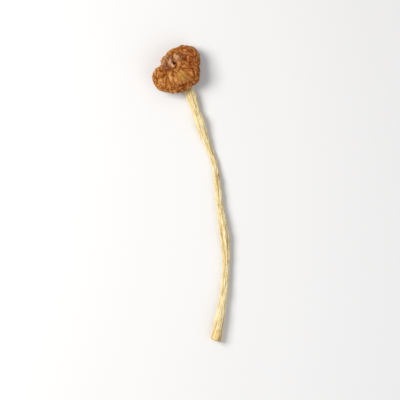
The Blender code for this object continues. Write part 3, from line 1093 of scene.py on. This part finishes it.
            # Each step along the noise only has to set a gill apart from its neighbours, here and below
            shift = -self.gill_overlap
            if index % 2:
                shift = self.short_start[0] + self.short_start[1] * abs(rough(0.7 * index, 3.0))
            start = self.gill_radii[1] + shift
            angle = FULL_TURN * (index + self.gill_jitter * rough(0.9 * index, 8.0)) / count
            made = bmesh.ops.create_grid(shape, x_segments=across, y_segments=downward, size=0.5)["verts"]
            for vert in made:
                along, down = vert.co.x + 0.5, 0.5 - vert.co.y
                vert.co = self.seat + turn @ self.gill_point(angle, index, start, along, down)
                vert[free] = down
        bmesh.ops.recalc_face_normals(shape, faces=shape.faces[:])
        piece = finished_piece("cap_gills", shape, material)
        thick = piece.modifiers.new("thickness", "SOLIDIFY")
        thick.thickness = self.gill_thickness
        thick.offset = 0.0
        return piece

    def gill_point(self, angle: float, index: int, start: float, along: float, down: float) -> Vector:
        """Place of a point of a gill about the seat, before the cap leans.

        Args:
            angle: Direction of the gill round the cap.
            index: The gill's number, which makes its ruffles its own.
            start: Radius at which it starts.
            along: 0 at its inner end, 1 at the margin.
            down: 0 where it grows from the flesh, 1 at its free edge.

        Returns:
            The place.
        """
        radius = blend((start, self.radius - self.margin_thickness), along)
        outer, inner = self.gill_radii
        inward = min(max((outer - radius) / (outer - inner), 0.0), 1.0)
        root = blend(self.roof_heights, inward) + self.gill_root
        edge = blend(self.gill_edges, inward)
        edge += self.gill_wobble * rough(1.3 * index, radius / self.wobble_length, 1.0)
        fade = smoothstep(0.0, self.short_rise, along) if index % 2 else 1.0
        fade *= 1.0 - self.gill_end_loss * smoothstep(self.gill_end, 1.0, along)
        height = root + (edge - root) * down * fade + self.roof_lift(angle, radius)
        aside = self.gill_ruffle * down * rough(2.7 * index, radius / self.ruffle_length, 0.6 * down)
        sweep = self.gill_sweep * rough(0.35 * index, radius / self.sweep_length, 4.0)
        aside += sweep * smoothstep(0.0, self.sweep_start, along)
        outward = Vector((math.cos(angle), math.sin(angle))) * (radius * self.roof_reach(angle, radius))
        return Vector((outward.x - aside * math.sin(angle), outward.y + aside * math.cos(angle), height))

    def build(self) -> None:
        """Build and dress the cap's pieces."""
        skin = self.build_skin(DriedCapSkin().material())
        gills = self.build_gills(DriedGillFlesh().material())
        for piece in (skin, gills):
            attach(piece, "root")
            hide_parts("cap")
            LOG.info("%s: %d faces", piece.name, len(piece.data.polygons))


@dataclass
class Stem:
    """The stem: long shrunken fibres in one grooved, bent stalk, from its neck to its cut foot."""

    seat: Vector = in_mm(*SEAT)

    # Points of the middle line from the seat, in mm: the neck in space, then the stretch that lies down
    neck_line: Table = (
        (-0.30, 0.55, 2.40), (-0.02, 0.02, 0.75), (0.90, -1.40, -1.00), (2.50, -4.00, -2.25),
        (4.40, -7.00, -2.75),
    )
    lying_line: tuple[Pair, ...] = (
        (5.95, -10.2), (9.2, -20.0), (12.4, -30.2), (14.1, -35.4), (16.15, -40.4), (18.8, -48.0),
        (20.2, -58.5), (21.2, -69.0), (23.2, -81.5), (24.5, -95.6), (23.6, -110.6), (21.4, -124.4),
        (19.4, -136.6),
    )
    line_steps: int = 24

    # Radius in mm by distance from the top end in mm
    girth: tuple[Pair, ...] = (
        (0, 3.00), (2, 2.90), (5, 2.50), (10, 2.20), (15, 2.12), (19, 2.34), (22, 2.18), (26, 1.92),
        (28, 2.00), (30, 2.36), (32, 2.54), (34, 2.42), (36, 2.10), (40, 2.00), (43, 1.84), (45, 1.60),
        (49, 1.38), (55, 1.42), (64, 1.65), (76, 1.75), (86, 2.10), (92, 2.30), (100, 1.90), (112, 1.75),
        (124, 2.00), (136, 2.50), (146, 2.70), (151, 2.40),
    )
    flatness: float = 0.10
    twist: float = math.radians(95)
    lumps: float = 0.09
    lumps_length: float = 5.0 * MM
    drying_start: Pair = (1.0 * MM, 9.0 * MM)

    # Grooves: direction in degrees, share of the radius, half width in degrees
    grooves: tuple[tuple[float, float, float], ...] = (
        (12, 0.17, 13), (78, 0.12, 10), (135, 0.20, 15), (206, 0.13, 11), (258, 0.18, 14),
        (318, 0.11, 10),
    )
    groove_wander: float = math.radians(16)
    groove_wander_length: float = 11.0 * MM
    groove_fade: Pair = (0.6, 0.4)
    groove_fade_length: float = 7.0 * MM
    groove_phases: Pair = (2.1, 1.3)
    groove_allowance: float = 0.05
    arch: float = 0.5 * MM
    arches: int = 3
    lying_start: Pair = (8.0 * MM, 13.0 * MM)
    ring_samples: int = 28

    columns: int = 144
    body_rows: int = 600
    foot_rows: int = 14
    top_rows: int = 2

    # Relief that the solids leave out: fibres, threads and knots, puckers in the bend, and peeled strips
    fibre_allowance: float = 0.23 * MM
    furrows: tuple[Furrow, ...] = (
        Furrow(0.26 * MM, 3.6, 15.0 * MM, 0.0, 2, 1.1, 3),
        Furrow(0.15 * MM, 8.0, 7.0 * MM, 6.0, 3, 0.5, 3),
        Furrow(0.30 * MM, 1.3, 3.6 * MM, 11.0, 3, 0.25, 4),
    )
    pucker: Furrow = Furrow(0.16 * MM, 1.2, 0.9 * MM, 0.0, 2)
    bend: Pair = (7.0 * MM, 3.5 * MM)
    strip_depth: float = 0.15 * MM
    strip_length: float = 10.0 * MM
    strip_turns: float = 1.6
    strip_raggedness: float = 2.2
    strip_edge: float = 0.05
    # Painted shadow line at each peeled strip's step
    strip_line: float = 0.03
    strip_shadow_darkness: float = 0.4
    foot_slant: float = math.radians(14)
    foot_hollow: float = 0.7 * MM
    foot_tear: float = 0.5 * MM
    tear_length: float = 0.45 * MM
    foot_fray: float = 0.35 * MM
    fray_length: float = 0.28 * MM
    foot_ending: float = 2.0 * MM

    # How much painted shade the grooves and furrows give the stem, and how far up the foot's colours go
    groove_shade_strength: float = 2.6
    furrow_shade_strength: float = 0.85
    foot_tint_length: float = 40.0 * MM
    cut_tint_edge: float = 0.3

    def line(self) -> tuple[list[Vector], list[float]]:
        """Close points along the stem's middle.

        Returns:
            The points about the seat, and the distance to each from the top.
        """
        neck = [Vector(point) * MM for point in self.neck_line]
        knots = neck + [Vector((x * MM, y * MM, neck[-1].z)) for x, y in self.lying_line]
        knots = [2 * knots[0] - knots[1], *knots, 2 * knots[-1] - knots[-2]]
        points: list[Vector] = []
        for i in range(1, len(knots) - 2):
            near = knots[i - 1 : i + 3]
            points += [spline(*near, step / self.line_steps) for step in range(self.line_steps)]
        points.append(knots[-2])
        distances = [0.0]
        for first, second in zip(points, points[1:]):
            distances.append(distances[-1] + (second - first).length)
        return points, distances

    def groove_cut(self, angle: float, distance: float, twist: float) -> float:
        """Share of the radius that the grooves take away.

        Args:
            angle: Direction round the stem.
            distance: Distance from the top end.
            twist: How far the stem has twisted by then.

        Returns:
            The share.
        """
        cut = 0.0
        for index, (degrees, depth, width) in enumerate(self.grooves):
            wander = math.sin(distance / self.groove_wander_length + self.groove_phases[0] * index)
            swing = math.sin(distance / self.groove_fade_length + self.groove_phases[1] * index)
            away = angle - math.radians(degrees) - twist - self.groove_wander * wander
            away = (away + math.pi) % FULL_TURN - math.pi
            strength = self.groove_fade[0] + self.groove_fade[1] * swing
            cut += depth * strength * bell(away, math.radians(width))
        return cut

    def section_reach(self, angle: float, distance: float, length: float) -> Pair:
        """Reach of the grooved section in a direction.

        Args:
            angle: Direction round the stem.
            distance: Distance from the top end.
            length: The stem's whole length.

        Returns:
            The reach, and the share that the grooves took.
        """
        radius = read_chart(self.girth, distance / MM) * MM
        twist = self.twist * distance / length
        dried = smoothstep(*self.drying_start, distance)
        around = Vector((math.cos(angle), math.sin(angle), distance / self.lumps_length))
        change = self.flatness * math.cos(2 * angle - twist) + self.lumps * noise.noise(around)
        cut = self.groove_cut(angle, distance, twist)
        return radius * (1.0 + dried * (change + self.groove_allowance - cut)), cut * dried

    def fibre_cut(self, angle: float, distance: float, length: float) -> Pair:
        """Depth of the fine furrows between fibres.

        Args:
            angle: Direction round the stem.
            distance: Distance from the top end.
            length: The stem's whole length.

        Returns:
            The depth, and how much painted shade the furrows and the peeled strips' step lines give the
            place, from 0 to 1.
        """
        spin = angle - self.twist * distance / length
        ring = Vector((math.cos(spin), math.sin(spin)))
        bent = bell(distance - self.bend[0], self.bend[1])
        gap = 1 - puff(*(self.pucker.turns * ring), distance / self.pucker.length)
        depth = self.pucker.depth * bent * gap**self.pucker.sharpness
        furrow = 0.0
        for kind in self.furrows:
            gap = 1 - puff(*(kind.turns * ring), kind.seed + distance / kind.length)
            depth += kind.depth * gap**kind.sharpness
            # Painted shade in the furrows
            furrow += kind.shade_darkness * gap**kind.dark_sharpness
        ragged = self.strip_raggedness * rough(*(self.strip_turns * ring), seed=5.0)
        strip = (distance / self.strip_length + ragged) % 1.0
        depth += self.strip_depth * smoothstep(0.0, self.strip_edge, strip) * (1.0 - strip)
        # Painted shadow line at the step of a peeled strip
        furrow += self.strip_shadow_darkness * bell(strip - self.strip_line, self.strip_line)
        return depth, min(furrow, 1.0)

    def rows(self) -> list[StemRow]:
        """Rings of the stem, from its top end's middle to its foot's.

        Returns:
            The rings.
        """
        points, distances = self.line()
        length = distances[-1]
        plan = [(0.0, i / self.top_rows) for i in range(self.top_rows)]
        plan += [(length * i / self.body_rows, 1.0) for i in range(self.body_rows + 1)]
        plan += [(length, 1.0 - i / self.foot_rows) for i in range(1, self.foot_rows + 1)]
        side = Vector((1.0, 0.0, 0.0))
        rows: list[StemRow] = []
        index = 0
        for distance, breadth in plan:
            while index < len(points) - 2 and distances[index + 1] < distance:
                index += 1
            step = points[index + 1] - points[index]
            middle = points[index] + step * ((distance - distances[index]) / step.length)
            after = points[min(index + 2, len(points) - 1)]
            run = (after - points[max(index - 1, 0)]).normalized()
            side = (side - run * side.dot(run)).normalized()
            rows.append(StemRow(middle, side, run.cross(side), run, distance, breadth))
        return rows

    def ground_drop(self, row: StemRow, length: float) -> float:
        """How far a ring moves down so that it rests, or just clears the ground.

        Args:
            row: The ring.
            length: The stem's whole length.

        Returns:
            The drop.
        """
        lowest = math.inf
        for step in range(self.ring_samples):
            angle = FULL_TURN * step / self.ring_samples
            rise = row.side.z * math.cos(angle) + row.up.z * math.sin(angle)
            lowest = min(lowest, row.middle.z + self.section_reach(angle, row.distance, length)[0] * rise)
        arch = self.arch * math.sin(self.arches * math.pi * row.distance / length) ** 2
        return (lowest + self.seat.z - arch) * smoothstep(*self.lying_start, row.distance)

    def build(self) -> None:
        """Build and dress the stem."""
        rows = self.rows()
        length = rows[-1].distance
        drops = [self.ground_drop(row, length) for row in rows]

        def place(column: int, index: int) -> Placed:
            """Place and traits of one point of the stem, with its place on the straightened stem in mm."""
            row = rows[index]
            angle = FULL_TURN * column / self.columns
            reach, cut = self.section_reach(angle, row.distance, length)
            depth, furrow = self.fibre_cut(angle, row.distance, length)
            reach = (reach + self.fibre_allowance - depth) * row.breadth
            flat = Vector((math.cos(angle), math.sin(angle))) * reach
            point = self.seat + row.middle + row.side * flat.x + row.up * flat.y
            point.z -= drops[index]
            shift = row.side.x * flat.x * math.tan(self.foot_slant)
            shift += self.foot_tear * rough(*(flat / self.tear_length))
            shift += self.foot_fray * puff(*(flat / self.fray_length), 0.0)
            shift -= self.foot_hollow * (1.0 - row.breadth**2)
            point += row.run * (shift * smoothstep(length - self.foot_ending, length, row.distance))
            point.z = max(point.z, 0.0)
            twist = angle - self.twist * row.distance / length
            traits = {
                "grain": Vector((reach * math.cos(twist), reach * math.sin(twist), row.distance)) / MM,
                # Painted shade in the grooves and furrows
                "groove_shade": min(self.groove_shade_strength * cut + self.furrow_shade_strength * furrow, 1.0),
                "foot": smoothstep(length - self.foot_tint_length, length, row.distance),
                "cut": smoothstep(0.0, self.cut_tint_edge, 1.0 - row.breadth) * (index > self.top_rows),
            }
            return point, traits

        shape = rolled_skin(self.columns, len(rows) - 1, place, STEM_TRAITS)
        piece = finished_piece("stem_flesh", shape, DriedStemFlesh().material())
        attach(piece, "root")
        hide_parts("stem")
        LOG.info("%s: %d faces", piece.name, len(piece.data.polygons))


@dataclass
class Studio:
    """A pale floor, soft light and a camera that looks down as the photograph does."""

    elevation: float = math.radians(80)
    aim: Vector = in_mm(4.65, -3.5, 0.0)
    field_width: float = 200.0 * MM
    lens: float = 200.0
    sensor: float = 36.0
    nearest: float = 0.01
    floor_side: float = 6.0
    sky: str = "#FBFCFF"
    sky_strength: float = 0.40

    # Square soft lights: name, place and side in metres, power in watts, and colour
    lights: tuple[tuple[str, tuple[float, float, float], float, float, str], ...] = (
        ("key", (-0.48, 0.08, 0.60), 0.40, 5.5, "#FFFDFA"),
        ("fill", (0.50, -0.50, 0.65), 0.8, 2.6, "#F4F8FF"),
    )

    def add_floor(self) -> None:
        """Add the floor."""
        shape = bmesh.new()
        bmesh.ops.create_grid(shape, x_segments=1, y_segments=1, size=self.floor_side / 2)
        floor = finished_piece("floor", shape, MattBoard().material())

    def add_light(
        self, name: str, place: tuple[float, float, float], side: float, watts: float, code: str
    ) -> None:
        """Add a square soft light that looks at the mushroom.

        Args:
            name: The light's name.
            place: Where it hangs, in metres.
            side: The length of its side in metres.
            watts: Its power.
            code: Its colour.
        """
        data = bpy.data.lights.new(name, "AREA")
        data.shape = "SQUARE"
        data.size = side
        data.energy = watts
        data.color = linear_colour(code)[:3]
        light = bpy.data.objects.new(name, data)
        light.location = place
        light.rotation_euler = (-Vector(place)).to_track_quat("-Z", "Y").to_euler()
        bpy.context.scene.collection.objects.link(light)

    def add_camera(self) -> None:
        """Add the camera at the photograph's distance, angle and framing."""
        data = bpy.data.cameras.new("camera")
        data.lens = self.lens
        data.sensor_width = self.sensor
        data.clip_start = self.nearest
        distance = self.field_width * self.lens / self.sensor
        toward = Vector((0.0, -math.cos(self.elevation), math.sin(self.elevation)))
        camera = bpy.data.objects.new("camera", data)
        camera.location = self.aim + toward * distance
        camera.rotation_euler = (-toward).to_track_quat("-Z", "Y").to_euler()
        bpy.context.scene.collection.objects.link(camera)
        bpy.context.scene.camera = camera

    def build(self) -> None:
        """Build the whole setting."""
        scene = bpy.context.scene
        scene.view_settings.view_transform = "Standard"
        world = bpy.data.worlds.new("pale_room")
        scene.world = world
        world.use_nodes = True
        sky = world.node_tree.nodes["Background"]
        sky.inputs["Color"].default_value = linear_colour(self.sky)
        sky.inputs["Strength"].default_value = self.sky_strength
        self.add_floor()
        for light in self.lights:
            self.add_light(*light)
        self.add_camera()


def main() -> None:
    """Build the mushroom and its setting."""
    logging.basicConfig(level=logging.INFO, format="%(name)s %(message)s")
    Studio().build()
    Cap().build()
    Stem().build()


if __name__ == "__main__":
    main()
